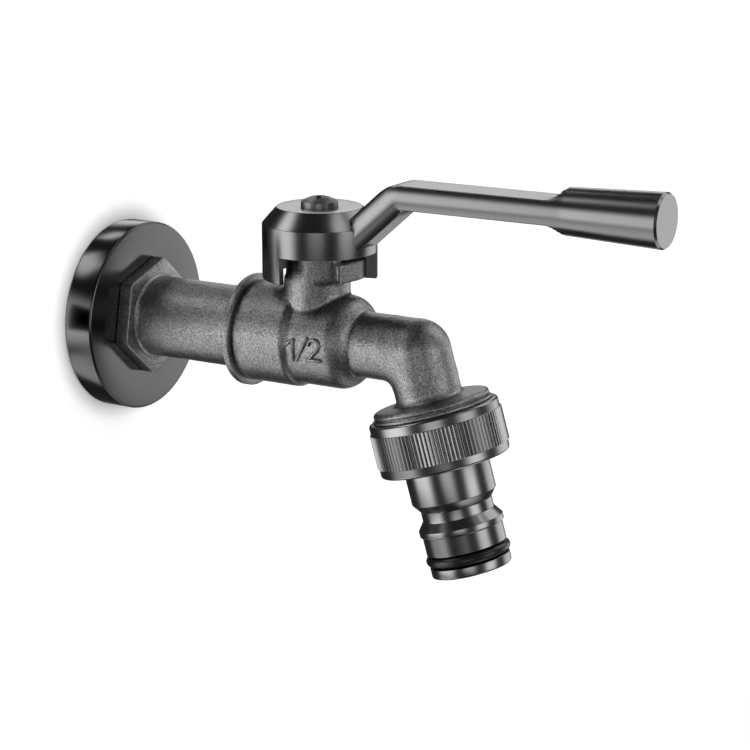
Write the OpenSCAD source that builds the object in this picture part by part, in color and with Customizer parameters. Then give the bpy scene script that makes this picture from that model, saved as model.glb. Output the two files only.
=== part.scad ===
// Lever ball valve bib tap with a wall flange and a push-on hose connector.
// Millimetres. The wall plane is X = 0, the inlet axis is the X axis, the tap
// comes out of the wall along +X, and Z is up.

/* [Wall flange] */
// Diameter of the wall flange
flange_d = 50; // [44:1:64]
// Thickness of the wall flange
flange_t = 8; // [6:0.5:12]
// Width of the rim that touches the wall
flange_rim = 4; // [3:0.5:6]
// Depth of the hollow behind the rim
flange_hollow = 3.5; // [1:0.5:3.5]
// Rounding of the front edge of the flange
flange_round = 0.5; // [0.2:0.1:1]
// Distance that the loose flange hangs below the inlet axis
flange_drop = 0.5; // [0:0.05:0.8]

/* [Inlet tube] */
// Outer diameter of the inlet pipe thread
inlet_thread_d = 20.955; // [20.955:0.005:21]
// Length of the inlet thread behind the wall plane
inlet_thread_l = 14; // [10:0.5:20]
// Depth of the relief groove at the end of the inlet thread
inlet_relief_depth = 0.8; // [0.4:0.1:1.2]
// Bore through the inlet tube
inlet_bore_d = 14; // [11:0.5:14]
// Hexagon across its flats
hex_af = 27; // [26:0.5:30]
// Thickness of the hexagon
hex_t = 3.8; // [3:0.2:6]
// Turn of the hexagon's corners about the tube
hex_turn = 18.5; // [0:0.5:60]
// Outer diameter of the cast tube
tube_d = 21.1; // [20:0.1:23]
// Length of the cast tube between the hexagon and the collar
tube_l = 29.6; // [20:0.2:60]
// Diameter of the turned collar that closes the body
collar_d = 29.1; // [28:0.1:32]
// Thickness of the collar
collar_t = 2; // [1.5:0.1:4]

/* [Body barrel] */
// Diameter of the barrel behind the stem
rear_barrel_d = 26; // [25.6:0.1:28]
// Length of the barrel behind the stem
rear_barrel_l = 14.5; // [14:0.1:15.4]
// Length of the cone between the two barrels
barrel_step_l = 1.3; // [1:0.1:2.4]
// Diameter of the barrel round the ball
front_barrel_d = 24; // [23:0.1:25.5]
// Distance from the stem axis to the barrel's front end
barrel_end = 13.2; // [12.6:0.1:18]
// Rounding of the barrel's front shoulder
shoulder_r = 5.5; // [3:0.1:6]
// Distance from the collar's front face to the stem axis
stem_from_collar = 18.7; // [18:0.1:22]
// Outer diameter of the thread that holds the tube in the body
spigot_d = 21.8; // [21:0.1:22]

/* [Neck and stop lug] */
// Diameter of the lower neck
neck_d = 16.9; // [14.4:0.1:17]
// Distance that the lower neck stands ahead of the stem axis
neck_shift = -0.8; // [-1:0.1:0]
// Height of the step from the lower to the upper neck
neck_step_z = 16.2; // [15.5:0.1:17]
// Diameter of the upper neck
neck_top_d = 17.2; // [16:0.1:18]
// Height of the top of the neck
neck_top_z = 24; // [23.2:0.1:25]
// Distance from the stem axis to the stop lug's outer face
lug_reach = 11.6; // [10.8:0.1:11.8]
// Width of the stop lug across its outer face
lug_w = 10.4; // [8:0.1:10.6]
// Width of the stop lug where it leaves the neck
lug_root_w = 4.4; // [3:0.1:8]
// Height of the top of the stop lug
lug_top_z = 21.4; // [20:0.1:22.5]
// Direction of the stop lug about the stem, from straight ahead
lug_turn = -10.7; // [-20:0.1:0]

/* [Spout] */
// Outer diameter of the cast elbow and spout
spout_d = 16.7; // [16:0.1:18]
// Bore of the spout
spout_bore_d = 11; // [8:0.1:12]
// Distance from the stem axis to where the spout axis meets the inlet axis
elbow_from_stem = 28.5; // [26:0.1:40]
// Tilt of the spout away from straight down
spout_tilt = 16.4; // [0:0.1:20]
// Radius of the inside of the bend
bend_inside_r = 2; // [1.5:0.1:4]
// Distance down the spout axis from the bend to the flange
spout_l = 12.4; // [11:0.1:20]
// Diameter of the cast spout flange
spout_flange_d = 29.6; // [28:0.1:30]
// Thickness of the cast spout flange
spout_flange_t = 1.4; // [1.1:0.1:3]
// Rounding between the spout and its flange
spout_fillet = 1.6; // [0.8:0.1:3]
// Diameter of the turned ring under the flange
spout_ring_d = 30.3; // [28:0.1:31]
// Thickness of the turned ring
spout_ring_t = 0.7; // [0.6:0.1:2]
// Outer diameter of the spout's pipe thread
spout_thread_d = 26.44; // [26:0.02:26.6]

/* [Ball and seats] */
// Diameter of the ball
ball_d = 18.4; // [17.6:0.1:18.8]
// Bore through the ball
ball_bore_d = 10; // [8:0.1:10.4]
// Distance from the ball centre to the near face of a seat ring
seat_near = 6; // [5.8:0.1:6.4]
// Thickness of a seat ring
seat_t = 3.6; // [3:0.1:3.8]
// Outer diameter of a seat ring
seat_d = 17.8; // [17:0.1:18]
// Bore of a seat ring
seat_bore_d = 10.8; // [10:0.1:11.6]

/* [Stem] */
// Diameter of the stem
stem_d = 9; // [8.8:0.1:9.4]
// Diameter of the stem's inner shoulder
stem_shoulder_d = 11.6; // [11:0.1:11.8]
// Thickness of the stem's inner shoulder
stem_shoulder_t = 2.3; // [2:0.1:2.4]
// Thickness of the thrust washer on the shoulder
thrust_washer_t = 0.8; // [0.5:0.1:1]
// Width of the tongue that drives the ball
tongue_w = 5; // [4:0.1:6]
// Depth that the tongue reaches into the ball
tongue_depth = 2; // [1.5:0.1:2]
// Width across the stem's square
stem_square = 6.2; // [5.6:0.1:6.3]
// Length of the stem's square
stem_square_l = 6.3; // [5:0.1:6.6]
// Depth of a groove for a stem O-ring
stem_groove_depth = 1.2; // [1:0.05:1.3]
// Height of the lower stem O-ring above the neck's thrust face
oring_lower_up = 3; // [2.4:0.1:3.4]
// Distance between the two stem O-rings
oring_spacing = 3.6; // [2.6:0.1:4.2]

/* [Lever hub] */
// Diameter of the lever hub
hub_d = 29.1; // [28.8:0.1:32]
// Height of the hub's lower rim
hub_bottom_z = 16; // [15:0.1:16.4]
// Height of the hub's upper edge, where the cone starts
hub_edge_z = 29.9; // [29:0.1:31]
// Height of the hub's flat top
hub_top_z = 34.1; // [33.6:0.1:36]
// Diameter of the hub's flat top
hub_top_d = 21.7; // [20:0.1:24]
// Wall of the hub's skirt
skirt_wall = 1.5; // [1.2:0.05:1.6]
// Height of the upper edge of the window in the skirt
window_top_z = 22.9; // [22:0.1:23.2]
// Direction of the window's far end, from straight ahead
window_start = -102; // [-110:1:-95]
// Direction of the window's near end
window_end = 20; // [16:0.5:24]

/* [Lever arm] */
// Diameter that rounds the sides of the arm
arm_d = 11.6; // [11:0.1:13]
// Thickness of the level arm between its flats
arm_t = 6.1; // [5:0.1:8]
// Height of the arm's centre line
arm_z = 39.1; // [38:0.1:44]
// Thickness of the sloping part of the arm
slope_t = 7.5; // [6.2:0.1:9]
// Slope of the arm up from the hub
slope_angle = 41.5; // [38:0.5:48]
// Distance from the stem axis to the upper bend of the arm
bend_from_stem = 22.4; // [21:0.1:26]
// Rounding of the arm's bends
arm_bend_r = 2.5; // [1.5:0.1:4]
// Rounding where the arm leaves the hub's top
arm_root_r = 8; // [4:0.5:10]
// Distance from the stem axis to the end of the flats
flats_from_stem = 65.2; // [60:0.2:90]
// Length over which the flats run out into the grip
flats_fade_l = 5; // [4:0.2:8]
// Distance from the stem axis to the free end of the grip
lever_l = 93.6; // [85:0.2:125]
// Diameter of the grip's free end
grip_end_d = 13.5; // [12:0.1:16]

/* [Handle screw] */
// Diameter of the screw head
screw_head_d = 9.4; // [8:0.1:10.5]
// Height of the screw head's straight band
screw_band = 1.2; // [0.8:0.1:2]
// Height of the dome on the screw head
screw_dome = 1.4; // [0.8:0.1:2]
// Outer diameter of the screw thread
screw_d = 4.9; // [4.5:0.1:4.9]
// Length of the screw below its head
screw_l = 11.6; // [8:0.2:12]

/* [Coupling nut] */
// Diameter over the ribs
nut_rib_d = 33.8; // [33.6:0.1:36]
// Diameter of the plain bands
nut_band_d = 33; // [32:0.1:33.2]
// Number of ribs round the nut
rib_count = 104; // [60:2:120]
// Depth of the grooves between the ribs
rib_depth = 0.35; // [0.2:0.05:0.4]
// Length of the upper band
nut_band_top = 2.6; // [1.5:0.1:4]
// Length of the ribbed part
rib_l = 8.5; // [8:0.1:14]
// Length of the lower band
nut_band_low = 2.5; // [2.4:0.1:4]
// Thickness of the lip that holds the nipple
nut_lip_t = 1.7; // [1.4:0.1:2.2]

/* [Hose nipple] */
// Diameter of the nipple's plain shank
nipple_d = 21.6; // [21:0.1:22]
// Diameter of the nipple's neck inside the nut's lip
nipple_neck_d = 21; // [20:0.1:21]
// Length of the shank below the nut
shank_l = 8.45; // [8:0.05:12]
// Length of each sloping side of the waist
waist_slope_l = 2.2; // [1.5:0.1:2.6]
// Length of the waist's narrow part
waist_l = 2.5; // [1.5:0.1:4]
// Diameter of the waist
waist_d = 18.3; // [17.4:0.1:19.4]
// Length of the ridge under the waist
ridge_l = 1.6; // [1.2:0.1:3]
// Diameter of the plain part under the ridge
nose_d = 20.5; // [20:0.1:21]
// Length of the plain part under the ridge
nose_l = 4.8; // [3:0.1:8]
// Width of the O-ring groove
nipple_groove_w = 3.3; // [3.2:0.1:4]
// Depth of the O-ring groove
nipple_groove_depth = 2.15; // [2:0.05:2.4]
// Thickness of the O-ring on the nipple
nipple_oring_t = 2.7; // [2.6:0.05:2.8]
// Length of the land at the nipple's end
nose_land_l = 2.6; // [2:0.1:5]
// Bore through the nipple
nipple_bore_d = 11; // [8:0.1:12]
// Diameter of the collar that the nut's lip holds
nipple_collar_d = 26.2; // [25.4:0.1:26.4]
// Thickness of that collar
nipple_collar_t = 2.2; // [1.6:0.1:3]
// Thickness of the gasket above the collar
gasket_t = 2; // [1.5:0.1:3]

/* [Hidden] */
// Gap round a piece that turns or slides
run_gap = 0.3;
// Gap of a close turning fit
fit_gap = 0.1;
// Gap of a seat or a thread that does not move
seat_gap = 0.05;
// Smallest gap beside a ring that only just touches
touch_gap = 0.01;
// Height that the cast bend stands proud of the tubes it joins
bend_proud = 0.05;
// Width of the bevels on turned edges
bevel = 0.5;
// Overlap that joins two solids of one piece
join = 0.2;
// Turn of the lever from open to closed
lever_travel = 90;
// Gap round the ball in its chamber
chamber_gap = 0.8;
// Height that a seat ring stands proud of its pocket
seat_proud = 0.2;
// Step that makes the level waterway narrower than the spout's bore
bore_step = 0.3;
// Start and width of the relief groove at the end of the inlet thread
relief_x = 0.5;
relief_w = 2.5;
// Length of the nipple's neck that shows below the nut
neck_show = 0.4;
// Distance from the body's end to the middle of its O-ring groove
body_oring_in = 2;
// Distance that the full width of the arm's root reaches past the hub
root_reach = 2;
// Width and depth of the groove between the spout's flange and its ring
ring_groove_w = 0.4;
ring_groove_depth = 0.7;
// Rounding of the spout flange's upper edge
spout_flange_round = 0.9;
// Widening and length of the counterbore in the spout's mouth
mouth_step = 4;
mouth_l = 5;
$fn = 96;

hex_x = flange_t;
tube_x = hex_x + hex_t;
collar_x = tube_x + tube_l;
body_x = collar_x + collar_t;
stem_x = body_x + stem_from_collar;
elbow_x = stem_x + elbow_from_stem;
seat_far = seat_near + seat_t;
barrel_end_x = stem_x + barrel_end;
shoulder_x = barrel_end_x - shoulder_r;
chamber_r = ball_d / 2 + chamber_gap;
spigot_end_x = stem_x - seat_near - seat_proud;
stem_shoulder_z = ball_d / 2 + run_gap;
thrust_z = stem_shoulder_z + stem_shoulder_t + thrust_washer_t;
stem_top_z = neck_top_z + run_gap + stem_square_l;
hub_ceiling_z = neck_top_z + 2 * run_gap;
skirt_r = hub_d / 2 - skirt_wall;
lug_side = lug_w / 2 + fit_gap;
lug_bevel = 0.9;
rib_inner_r = lug_reach - lug_bevel - run_gap;
low_bend = bend_from_stem + (slope_t / cos(slope_angle) - arm_t) / tan(slope_angle);
bend_u = (bend_from_stem + low_bend) / 2;
body_oring_t = 1.6;
body_oring_x = body_x + body_oring_in;

spout_r = spout_d / 2;
flange_s = spout_l;
ring_s = flange_s + spout_flange_t + ring_groove_w;
nut_s = ring_s + spout_ring_t + fit_gap;
nut_l = nut_band_top + rib_l + nut_band_low;
lip_s = nut_s + nut_l - nut_lip_t;
collar_s = lip_s - nipple_collar_t;
gasket_s = collar_s - gasket_t;
shank_s = nut_s + nut_l;
waist_s = shank_s + shank_l;
ridge_s = waist_s + 2 * waist_slope_l + waist_l;
nose_s = ridge_s + ridge_l;
groove_s = nose_s + nose_l;
land_s = groove_s + nipple_groove_w;
nipple_end_s = land_s + nose_land_l;
nipple_oring_s = groove_s + nipple_groove_w / 2;
mouth_d = spout_bore_d + mouth_step;

// A solid of revolution about the inlet axis, from a profile of [x, radius]
module about_inlet() {
  rotate([0, 90, 0]) rotate_extrude() mirror([1, -1, 0]) children();
}

// Cylinder along the inlet axis
module inlet_cylinder(x, l, d) {
  translate([x, 0, 0]) rotate([0, 90, 0]) cylinder(h = l, d = d);
}

// Places children on the spout axis, with Z running down the spout
module on_spout() {
  translate([elbow_x, 0, 0]) rotate([0, 180 - spout_tilt, 0]) children();
}

// Places children on the stem axis
module on_stem(z = 0) {
  translate([stem_x, 0, z]) children();
}

// Ring with a round section
module oring(mean_r, t) {
  rotate_extrude() translate([mean_r, 0]) circle(d = t, $fn = 48);
}

// Flat sector between two directions, seen along its axis
module sector(r, from, to) {
  steps = 12;
  polygon(concat([[0, 0]], [for (i = [0:steps]) let (a = from + (to - from) * i / steps)
    [r * cos(a), r * sin(a)]]));
}

// Points of a rounded corner b between the points a and c, as an arc of radius r
function corner(a, b, c, r, steps = 8) =
  let (u = (a - b) / norm(a - b), v = (c - b) / norm(c - b), half = acos(u * v) / 2,
    centre = b + (u + v) / norm(u + v) * r / sin(half),
    start = b + u * r / tan(half) - centre, turn = cross(u, v) > 0 ? 1 : -1,
    sweep = turn * (180 - 2 * half))
  [for (i = [0:steps]) let (t = -sweep * i / steps)
    centre + [start.x * cos(t) - start.y * sin(t), start.x * sin(t) + start.y * cos(t)]];

module wall_flange() {
  hole_r = inlet_thread_d / 2 + flange_drop + seat_gap;
  r = flange_d / 2;
  color("#3c3d40") translate([0, 0, -flange_drop]) about_inlet()
    polygon([[0, r - flange_rim], [0, r], [flange_t - flange_round, r], [flange_t, r - flange_round],
      [flange_t, hole_r], [flange_hollow, hole_r], [flange_hollow, r - flange_rim]]);
}

module hexagon() {
  translate([hex_x, 0, 0]) rotate([0, 90, 0]) rotate([0, 0, hex_turn + 30])
    cylinder(h = hex_t, r = hex_af / 2 / cos(30), $fn = 6);
}

module inlet_tube() {
  pocket_x = stem_x - seat_far;
  color("#46474a") difference() {
    union() {
      inlet_cylinder(-inlet_thread_l, hex_x + inlet_thread_l + join, inlet_thread_d);
      hexagon();
      inlet_cylinder(tube_x - join, tube_l + 2 * join, tube_d);
      inlet_cylinder(collar_x, collar_t, collar_d);
      inlet_cylinder(body_x - join, spigot_end_x - body_x + join, spigot_d);
    }
    inlet_cylinder(-inlet_thread_l - 1, pocket_x + inlet_thread_l + 2, inlet_bore_d);
    inlet_cylinder(pocket_x, spigot_end_x - pocket_x + 1, seat_d + 2 * seat_gap);
    translate([relief_x, 0, 0]) rotate([0, 90, 0]) difference() {
      cylinder(h = relief_w, d = inlet_thread_d + 2);
      translate([0, 0, -1]) cylinder(h = relief_w + 2, d = inlet_thread_d - 2 * inlet_relief_depth);
    }
    translate([body_oring_x, 0, 0]) rotate([0, 90, 0]) difference() {
      cylinder(h = body_oring_t + 2 * fit_gap, d = spigot_d + 2, center = true);
      cylinder(h = body_oring_t + 1, r = spigot_d / 2 + seat_gap - body_oring_t, center = true);
    }
  }
}

module body_oring() {
  color("#151515") translate([body_oring_x, 0, 0]) rotate([0, 90, 0])
    oring(spigot_d / 2 + seat_gap - body_oring_t / 2, body_oring_t - 2 * touch_gap);
}

module barrel() {
  rear_r = rear_barrel_d / 2;
  front_r = front_barrel_d / 2;
  step_x = body_x + rear_barrel_l;
  about_inlet() polygon([[body_x, 0], [body_x, rear_r], [step_x, rear_r],
    [step_x + barrel_step_l, front_r], [shoulder_x, front_r], [shoulder_x, 0]]);
  about_inlet() intersection() {
    translate([shoulder_x - join, 0]) square([shoulder_r + join, front_r]);
    union() {
      translate([shoulder_x, front_r - shoulder_r]) circle(r = shoulder_r);
      translate([shoulder_x - join, 0]) square([shoulder_r + join, front_r - shoulder_r]);
    }
  }
}

module elbow() {
  bend = 90 - spout_tilt;
  tube_r = spout_r + 2 * bend_proud;
  bend_r = tube_r + bend_inside_r;
  start_x = elbow_x - bend_r * tan(bend / 2);
  inlet_cylinder(shoulder_x, elbow_x - shoulder_x, spout_d);
  translate([elbow_x, 0, 0]) sphere(r = spout_r + bend_proud);
  on_spout() cylinder(h = flange_s + join, d = spout_d);
  translate([start_x, 0, -bend_r]) rotate([90, 0, 0]) rotate([0, 0, 90 - bend])
    rotate_extrude(angle = bend) translate([bend_r, 0]) circle(r = tube_r);
}

// Cast flange, turned ring and thread core at the end of the spout
module spout_end() {
  fr = spout_flange_d / 2;
  rr = spout_ring_d / 2;
  tr = spout_thread_d / 2;
  f = spout_fillet;
  on_spout() rotate_extrude() polygon(concat(
    [[0, flange_s - f], [spout_r - join, flange_s - f], [spout_r + 0.15 * f, flange_s - 0.55 * f],
      [spout_r + 0.5 * f, flange_s - 0.18 * f]],
    corner([spout_r + f, flange_s], [fr, flange_s], [fr, flange_s + spout_flange_t],
      spout_flange_round, 5),
    [[fr, flange_s + spout_flange_t], [fr - ring_groove_depth, flange_s + spout_flange_t],
      [fr - ring_groove_depth, ring_s], [rr, ring_s], [rr, ring_s + spout_ring_t],
      [tr, ring_s + spout_ring_t], [tr, gasket_s - bevel], [tr - bevel, gasket_s], [0, gasket_s]]));
}

// Lug that the lever's inner ribs meet, flared outwards like a fishtail
module stop_lug() {
  root_r = neck_top_d / 2 - 2 * join;
  on_stem(neck_step_z) rotate([0, 0, lug_turn]) linear_extrude(lug_top_z - neck_step_z)
    polygon([[0, -lug_root_w / 2], [root_r, -lug_root_w / 2], [lug_reach, -lug_w / 2],
      [lug_reach, lug_w / 2 - 3 * lug_bevel], [lug_reach - lug_bevel, lug_w / 2],
      [root_r, lug_root_w / 2], [0, lug_root_w / 2]]);
}

module neck() {
  on_stem() translate([neck_shift, 0, 0]) cylinder(h = neck_step_z, d = neck_d);
  on_stem(neck_step_z - join) cylinder(h = neck_top_z - neck_step_z + join, d = neck_top_d);
  stop_lug();
}

module body_waterways() {
  spigot_hole = spigot_end_x + 2 * seat_proud;
  inlet_cylinder(body_x - 1, spigot_hole - body_x + 1, spigot_d + 2 * seat_gap);
  inlet_cylinder(spigot_hole - 1, stem_x + seat_near - spigot_hole + 1, 2 * chamber_r);
  inlet_cylinder(stem_x, seat_far, seat_d + 2 * seat_gap);
  inlet_cylinder(stem_x, elbow_from_stem + spout_bore_d / 4, spout_bore_d - bore_step);
  on_spout() cylinder(h = gasket_s + 1, d = spout_bore_d);
  on_spout() translate([0, 0, gasket_s - mouth_l]) cylinder(h = mouth_l + 1, d = mouth_d);
  on_stem() cylinder(h = thrust_z, d = stem_shoulder_d + 2 * fit_gap);
  on_stem() cylinder(h = neck_top_z + 1, d = stem_d + 2 * fit_gap);
}

module body() {
  color("#46474a") difference() {
    union() {
      barrel();
      elbow();
      spout_end();
      neck();
    }
    body_waterways();
  }
}

module ball() {
  slot_floor = ball_d / 2 - tongue_depth - 2 * fit_gap;
  color("#c9cbce") on_stem() difference() {
    sphere(d = ball_d);
    translate([-ball_d, 0, 0]) rotate([0, 90, 0]) cylinder(h = 2 * ball_d, d = ball_bore_d);
    translate([-tongue_w / 2 - fit_gap, -ball_d / 2, slot_floor])
      cube([tongue_w + 2 * fit_gap, ball_d, ball_d]);
  }
}

// Seat ring with a hollow face that fits the ball, its near face towards -X
module seat_ring() {
  on_stem() difference() {
    translate([seat_near, 0, 0]) rotate([0, 90, 0]) cylinder(h = seat_t, d = seat_d);
    rotate([0, 90, 0]) cylinder(h = seat_far + 1, d = seat_bore_d);
    sphere(d = ball_d + 2 * seat_gap);
  }
}

module seat_ring_outlet() {
  color("#f1efe8") seat_ring();
}

module seat_ring_inlet() {
  color("#f1efe8") translate([2 * stem_x, 0, 0]) mirror([1, 0, 0]) seat_ring();
}

module stem() {
  square_z = neck_top_z + run_gap;
  groove_r = stem_d / 2 - stem_groove_depth;
  groove_w = stem_groove_depth + fit_gap + run_gap;
  color("#b8a06a") on_stem() difference() {
    union() {
      intersection() {
        translate([-tongue_w / 2, -stem_shoulder_d / 2, ball_d / 2 - tongue_depth])
          cube([tongue_w, stem_shoulder_d, tongue_depth + run_gap + join]);
        cylinder(h = stem_shoulder_z + 1, d = stem_shoulder_d);
      }
      translate([0, 0, stem_shoulder_z]) cylinder(h = stem_shoulder_t, d = stem_shoulder_d);
      translate([0, 0, stem_shoulder_z]) cylinder(h = square_z - stem_shoulder_z, d = stem_d);
      translate([-stem_square / 2, -stem_square / 2, square_z - join])
        cube([stem_square, stem_square, stem_square_l + join]);
    }
    for (z = [thrust_z + oring_lower_up, thrust_z + oring_lower_up + oring_spacing])
      translate([0, 0, z - groove_w / 2]) difference() {
        cylinder(h = groove_w, d = stem_d + 1);
        translate([0, 0, -1]) cylinder(h = groove_w + 2, r = groove_r);
      }
    translate([0, 0, hub_top_z - screw_l - run_gap]) cylinder(h = screw_l, d = screw_d + 2 * seat_gap);
  }
}

module stem_thrust_washer() {
  color("#f1efe8") on_stem(thrust_z - thrust_washer_t + touch_gap) difference() {
    cylinder(h = thrust_washer_t - touch_gap, d = stem_shoulder_d);
    translate([0, 0, -1]) cylinder(h = thrust_washer_t + 2, d = stem_d + 2 * seat_gap);
  }
}

// O-ring that fills the gap between the stem's groove and the neck's bore
module stem_oring(z) {
  groove_r = stem_d / 2 - stem_groove_depth;
  bore_r = stem_d / 2 + fit_gap;
  on_stem(z) oring((groove_r + bore_r) / 2, bore_r - groove_r - 2 * touch_gap);
}

module stem_oring_lower() {
  color("#151515") stem_oring(thrust_z + oring_lower_up);
}

module stem_oring_upper() {
  color("#151515") stem_oring(thrust_z + oring_lower_up + oring_spacing);
}

// Outline of the arm from the side, as [distance from the stem, height]
module arm_side() {
  top_z = arm_z + arm_t / 2;
  low_z = arm_z - arm_t / 2;
  rise = tan(slope_angle);
  root = bend_from_stem - (top_z - hub_top_z) / rise;
  fade = flats_from_stem + flats_fade_l;
  reach = grip_end_d / 2 + 1;
  end = lever_l + 1;
  foot = skirt_r + skirt_wall / 2;
  fade_r = 3;
  foot_z = low_z - (low_bend - foot) * rise;
  polygon(concat([[0, hub_top_z]],
    corner([0, hub_top_z], [root, hub_top_z], [bend_from_stem, top_z], arm_root_r),
    corner([root, hub_top_z], [bend_from_stem, top_z], [flats_from_stem, top_z], arm_bend_r),
    corner([bend_from_stem, top_z], [flats_from_stem, top_z], [fade, arm_z + reach], fade_r),
    [[fade, arm_z + reach], [end, arm_z + reach], [end, arm_z - reach], [fade, arm_z - reach]],
    corner([fade, arm_z - reach], [flats_from_stem, low_z], [low_bend, low_z], fade_r),
    corner([flats_from_stem, low_z], [low_bend, low_z], [foot, foot_z], arm_bend_r),
    [[foot, foot_z], [foot, hub_ceiling_z], [0, hub_ceiling_z]]));
}

// Extrudes a side outline to both sides of the arm's middle plane
module across(width) {
  rotate([90, 0, 0]) translate([0, 0, -width / 2]) linear_extrude(width) children();
}

module arm() {
  fade = flats_from_stem + flats_fade_l;
  intersection() {
    union() {
      translate([bend_u, 0, arm_z]) rotate([0, 90, 0]) cylinder(h = fade - bend_u, d = arm_d);
      translate([fade, 0, arm_z]) rotate([0, 90, 0])
        cylinder(h = lever_l - fade, d1 = arm_d, d2 = grip_end_d);
      translate([bend_u, 0, arm_z]) sphere(d = arm_d + 2 * bend_proud);
      translate([bend_u, 0, arm_z]) rotate([0, -90 - slope_angle, 0])
        cylinder(h = bend_u / cos(slope_angle), d = arm_d);
    }
    across(2 * arm_d) arm_side();
  }
  root_w = sqrt(arm_d * arm_d - slope_t * slope_t);
  intersection() {
    across(root_w) arm_side();
    translate([0, -arm_d, hub_ceiling_z]) cube([hub_d / 2 + root_reach, 2 * arm_d, arm_z]);
  }
}

// Inner rib that meets the stop lug; side 1 stops it open and side -1 stops it closed
module stop_rib(turn, side) {
  low_z = hub_bottom_z + run_gap;
  rotate([0, 0, turn]) translate([0, 0, low_z]) linear_extrude(hub_ceiling_z - low_z + join)
    intersection() {
      difference() {
        circle(r = skirt_r + join);
        circle(r = rib_inner_r);
      }
      translate([0, side > 0 ? lug_side : -lug_side - lug_w / 2]) square([hub_d, lug_w / 2]);
    }
}

module hub() {
  r = hub_d / 2;
  top_r = hub_top_d / 2;
  edge = 0.3;
  difference() {
    union() {
      rotate_extrude() polygon([[0, hub_ceiling_z], [skirt_r, hub_ceiling_z], [skirt_r, hub_bottom_z],
        [r - edge, hub_bottom_z], [r, hub_bottom_z + edge], [r, hub_edge_z - edge],
        [r - edge, hub_edge_z + edge], [top_r + edge, hub_top_z - edge], [top_r - edge, hub_top_z],
        [0, hub_top_z]]);
      stop_rib(lug_turn, 1);
      stop_rib(lug_turn - lever_travel, -1);
    }
    translate([0, 0, hub_bottom_z - 1]) linear_extrude(window_top_z - hub_bottom_z + 1)
      difference() {
        sector(hub_d, window_start, window_end);
        circle(r = skirt_r - fit_gap);
      }
  }
}

module lever_handle() {
  socket = stem_square + 2 * fit_gap;
  color("#6c6e72") on_stem() difference() {
    union() {
      hub();
      arm();
    }
    translate([-socket / 2, -socket / 2, hub_ceiling_z - 1])
      cube([socket, socket, stem_top_z + fit_gap - hub_ceiling_z + 1]);
    cylinder(h = hub_top_z + 1, d = screw_d + 2 * fit_gap);
  }
}

module handle_screw() {
  r = screw_head_d / 2;
  dome_r = (r * r + screw_dome * screw_dome) / (2 * screw_dome);
  slot_w = screw_head_d / 8;
  slot_l = screw_head_d / 2;
  dome_inset = 0.15;
  color("#8b8d91") on_stem(hub_top_z) difference() {
    union() {
      cylinder(h = screw_band, r = r);
      intersection() {
        translate([0, 0, screw_band + screw_dome - dome_r]) sphere(r = dome_r);
        cylinder(h = screw_band + screw_dome + 1, r = r - dome_inset);
      }
      translate([0, 0, -screw_l]) cylinder(h = screw_l + join, d = screw_d);
    }
    for (turn = [25, 115])
      rotate([0, 0, turn]) translate([-slot_l / 2, -slot_w / 2, screw_band])
        cube([slot_l, slot_w, screw_dome + 1]);
  }
}

// Outline of the ribbed ring, with one point on each rib and one in each groove
module rib_ring() {
  r = nut_rib_d / 2;
  step = 180 / rib_count;
  polygon([for (i = [0:2 * rib_count - 1]) let (q = r - (i % 2) * rib_depth)
    [q * cos(i * step), q * sin(i * step)]]);
}

module coupling_nut() {
  band_r = nut_band_d / 2;
  bore_r = spout_thread_d / 2 + run_gap;
  lip_z = nut_l - nut_lip_t;
  top_bevel = 0.6;
  low_bevel = 0.6;
  color("#55575b") on_spout() translate([0, 0, nut_s]) difference() {
    union() {
      rotate_extrude() polygon([[0, 0], [band_r - top_bevel, 0], [band_r, top_bevel],
        [band_r, nut_l - low_bevel], [band_r - low_bevel, nut_l], [0, nut_l]]);
      translate([0, 0, nut_band_top]) linear_extrude(rib_l) rib_ring();
    }
    translate([0, 0, -1]) cylinder(h = lip_z + 1 + touch_gap, r = bore_r);
    cylinder(h = nut_l + 1, d = nipple_d + 2 * fit_gap);
  }
}

module hose_nipple() {
  bore_r = nipple_bore_d / 2;
  collar_r = nipple_collar_d / 2;
  r = nipple_d / 2;
  neck_r = nipple_neck_d / 2;
  waist_r = waist_d / 2;
  nose_r = nose_d / 2;
  groove_r = nose_r - nipple_groove_depth;
  ridge_bevel = 0.3;
  color("#7d7f83") on_spout() rotate_extrude() polygon([[bore_r, collar_s], [collar_r, collar_s],
    [collar_r, lip_s], [neck_r, lip_s], [neck_r, shank_s + neck_show], [r, shank_s + neck_show],
    [r, waist_s], [waist_r, waist_s + waist_slope_l],
    [waist_r, waist_s + waist_slope_l + waist_l], [r, ridge_s], [r, nose_s - ridge_bevel],
    [r - ridge_bevel, nose_s], [nose_r, nose_s], [nose_r, groove_s], [groove_r, groove_s],
    [groove_r, land_s], [nose_r, land_s], [nose_r, nipple_end_s - bevel],
    [nose_r - bevel, nipple_end_s], [bore_r, nipple_end_s]]);
}

module coupling_gasket() {
  color("#151515") on_spout() translate([0, 0, gasket_s + touch_gap]) difference() {
    cylinder(h = gasket_t - touch_gap, d = nipple_collar_d);
    translate([0, 0, -1]) cylinder(h = gasket_t + 2, d = mouth_d);
  }
}

module nipple_oring() {
  color("#151515") on_spout() translate([0, 0, nipple_oring_s])
    oring(nose_d / 2 - nipple_groove_depth + nipple_oring_t / 2 + touch_gap, nipple_oring_t);
}

wall_flange();
inlet_tube();
body();
body_oring();
ball();
seat_ring_inlet();
seat_ring_outlet();
stem();
stem_thrust_washer();
stem_oring_lower();
stem_oring_upper();
lever_handle();
handle_screw();
coupling_nut();
hose_nipple();
coupling_gasket();
nipple_oring();
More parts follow.
